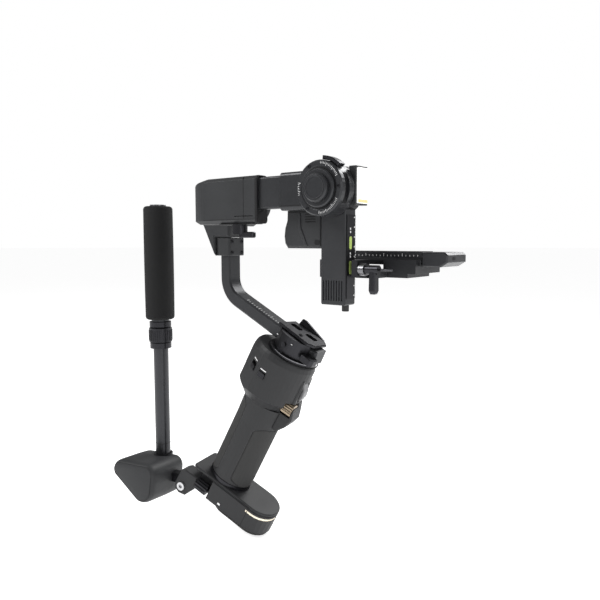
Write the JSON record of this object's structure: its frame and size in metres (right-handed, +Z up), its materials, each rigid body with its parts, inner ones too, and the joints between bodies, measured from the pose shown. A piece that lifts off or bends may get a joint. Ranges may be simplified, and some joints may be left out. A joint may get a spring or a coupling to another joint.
{
  "type": "handheld camera gimbal",
  "caption": "Motorised hand-held stabiliser with bent arms, a sliding camera plate, an angled battery grip and a folding wrist rest that carries an upright sling handle.",
  "frame": {"origin": "middle of the flat underside of the handle's base", "axes": "+X the way the camera looks, -Y the side of the tilt motor, +Z up; the handle's own axis leans forward by 27 degrees and left by 12 degrees of heading"},
  "size_m": [0.4275, 0.1336, 0.424],
  "materials": {
    "shell_plastic": "fine-textured black moulding",
    "arm_alloy": "satin black anodised and painted alloy",
    "dark_alloy": "dull black alloy",
    "grip_rubber": "soft black rubber",
    "foam": "closed-cell black foam",
    "bright_steel": "bright turned steel",
    "trim_metal": "pale champagne anodised trim",
    "tube_alloy": "black anodised tube",
    "battery_wrap": "shrink wrap",
    "circuit_board": "green board",
    "screen_glass": "black window",
    "diffuser": "white light diffuser",
    "lever_plastic": "black moulded lever"
  },
  "bodies": {
    "handle": {"base_body": "shell_plastic", "trim_ring": "trim_metal", "base_foot": "grip_rubber", "base_plate": "shell_plastic", "grip_shell": "shell_plastic", "grip_rear_rubber": "grip_rubber", "grip_front_rubber": "grip_rubber", "grip_foot_ring": "dark_alloy", "battery_pack": "battery_wrap", "head_shell": "shell_plastic", "pan_stator": "dark_alloy", "control_board": "circuit_board", "screen": "screen_glass", "sling_bracket": "shell_plastic", "pivot_screw": "bright_steel"},
    "trigger_body": {"trigger": "shell_plastic"},
    "wheel_body": {"front_wheel": "bright_steel"},
    "switch_body": {"power_switch": "lever_plastic"},
    "button_body": {"mode_button": "lever_plastic"},
    "joystick_body": {"joystick": "grip_rubber"},
    "knob_body": {"sling_knob": "lever_plastic"},
    "pan_clamp": {"pan_rotor": "dark_alloy", "clamp_body": "dark_alloy", "clamp_plate": "arm_alloy", "clamp_screw": "bright_steel"},
    "flip_lever": {"clamp_flip_lever": "lever_plastic"},
    "lower_arm": {"pan_arm": "arm_alloy", "neck_clamp": "shell_plastic", "neck_bracket": "shell_plastic", "roll_stator": "arm_alloy"},
    "roll_body": {"roll_shell": "shell_plastic"},
    "bar_lever": {"bar_lock_lever": "lever_plastic"},
    "roll_slider": {"roll_bar": "arm_alloy", "bar_clamp": "arm_alloy", "tilt_stator": "arm_alloy", "tilt_cap": "dark_alloy"},
    "tilt_lever": {"tilt_lock_lever": "lever_plastic"},
    "tilt_body": {"tilt_rotor": "dark_alloy", "tilt_post": "arm_alloy", "scale_strip": "dark_alloy", "post_stop": "grip_rubber", "light_housing": "shell_plastic", "light_panel": "diffuser", "rear_module": "shell_plastic"},
    "carrier": {"carrier_sleeve": "dark_alloy", "carrier_cradle": "arm_alloy", "carrier_collar": "bright_steel"},
    "carrier_handle": {"carrier_lever": "lever_plastic"},
    "plate_slider": {"camera_plate": "arm_alloy", "plate_nose": "arm_alloy"},
    "wrist_rest": {"wrist_pad": "grip_rubber", "pad_frame": "dark_alloy", "outer_tube": "tube_alloy"},
    "twist_collar": {"collar": "dark_alloy"},
    "sling_grip": {"inner_tube": "tube_alloy", "foam_grip": "foam", "grip_cap": "bright_steel"}
  },
  "joints": [
    {"name": "trigger_pull", "type": "hinge", "parent": "handle", "child": "trigger_body", "pos_m": [0.09656, 0.02052, 0.1607], "axis": [-0.2079, 0.9781, 0], "range_deg": [0, 8], "stiffness_Nm_per_rad": 0.1},
    {"name": "wheel_spin", "type": "hinge", "parent": "handle", "child": "wheel_body", "pos_m": [0.08382, 0.01066, 0.13442], "axis": [0.8715, 0.1853, -0.454], "continuous": true},
    {"name": "switch_slide", "type": "slide", "parent": "handle", "child": "switch_body", "axis": [0.4441, 0.0944, 0.891], "range_m": [0, 0.0034]},
    {"name": "button_press", "type": "slide", "parent": "handle", "child": "button_body", "axis": [-0.1001, 0.9934, -0.0553], "range_m": [0, 0.0012], "stiffness_N_per_m": 300},
    {"name": "joystick_tilt", "type": "hinge", "parent": "handle", "child": "joystick_body", "pos_m": [0.03157, 0.00671, 0.17435], "axis": [-0.2079, 0.9781, 0], "range_deg": [-8, 8], "stiffness_Nm_per_rad": 0.02},
    {"name": "knob_spin", "type": "hinge", "parent": "handle", "child": "knob_body", "pos_m": [-0.02189, -0.0251, 0.02704], "axis": [0.8715, 0.1853, -0.454], "continuous": true},
    {"name": "pan", "type": "hinge", "parent": "handle", "child": "pan_clamp", "pos_m": [0.09132, 0.01941, 0.20967], "axis": [0.4441, 0.0944, 0.891], "continuous": true},
    {"name": "flip_lever_lift", "type": "hinge", "parent": "pan_clamp", "child": "flip_lever", "pos_m": [0.07985, 0.04008, 0.227], "axis": [0.0421, -0.9955, 0.0845], "range_deg": [0, 35]},
    {"name": "arm_slide", "type": "slide", "parent": "pan_clamp", "child": "lower_arm", "axis": [0.895, 0, -0.4461], "range_m": [-0.01, 0.01]},
    {"name": "roll", "type": "hinge", "parent": "lower_arm", "child": "roll_body", "pos_m": [0.00532, 0.01941, 0.37067], "axis": [1, 0, 0], "range_deg": [-90, 90]},
    {"name": "bar_lever_turn", "type": "hinge", "parent": "roll_body", "child": "bar_lever", "pos_m": [0.07932, -0.06409, 0.33467], "axis": [0, 0, 1], "range_deg": [-45, 90]},
    {"name": "bar_slide", "type": "slide", "parent": "roll_body", "child": "roll_slider", "axis": [1, 0, 0], "range_m": [-0.02, 0.03]},
    {"name": "tilt_lever_turn", "type": "hinge", "parent": "roll_slider", "child": "tilt_lever", "pos_m": [0.18632, -0.06959, 0.37067], "axis": [0, 1, 0], "range_deg": [-25, 10]},
    {"name": "tilt", "type": "hinge", "parent": "roll_slider", "child": "tilt_body", "pos_m": [0.18632, -0.05559, 0.37067], "axis": [0, 1, 0], "range_deg": [-90, 90]},
    {"name": "carrier_slide", "type": "slide", "parent": "tilt_body", "child": "carrier", "axis": [0, 0, 1], "range_m": [-0.012, 0.009]},
    {"name": "carrier_lever_turn", "type": "hinge", "parent": "carrier", "child": "carrier_handle", "pos_m": [0.22132, -0.04659, 0.29807], "axis": [1, 0, 0], "range_deg": [-80, 80]},
    {"name": "plate_slide", "type": "slide", "parent": "carrier", "child": "plate_slider", "axis": [1, 0, 0], "range_m": [-0.003, 0.025]},
    {"name": "wrist_rest_fold", "type": "hinge", "parent": "handle", "child": "wrist_rest", "pos_m": [-0.05624, -0.01195, 0.023], "axis": [0.2079, -0.9781, 0], "range_deg": [-5, 20]},
    {"name": "collar_twist", "type": "hinge", "parent": "wrist_rest", "child": "twist_collar", "pos_m": [-0.11267, -0.00861, 0.203], "axis": [0, 0, 1], "range_deg": [0, 90]},
    {"name": "grip_extend", "type": "slide", "parent": "wrist_rest", "child": "sling_grip", "axis": [0, 0, 1], "range_m": [0, 0.05]}
  ]
}
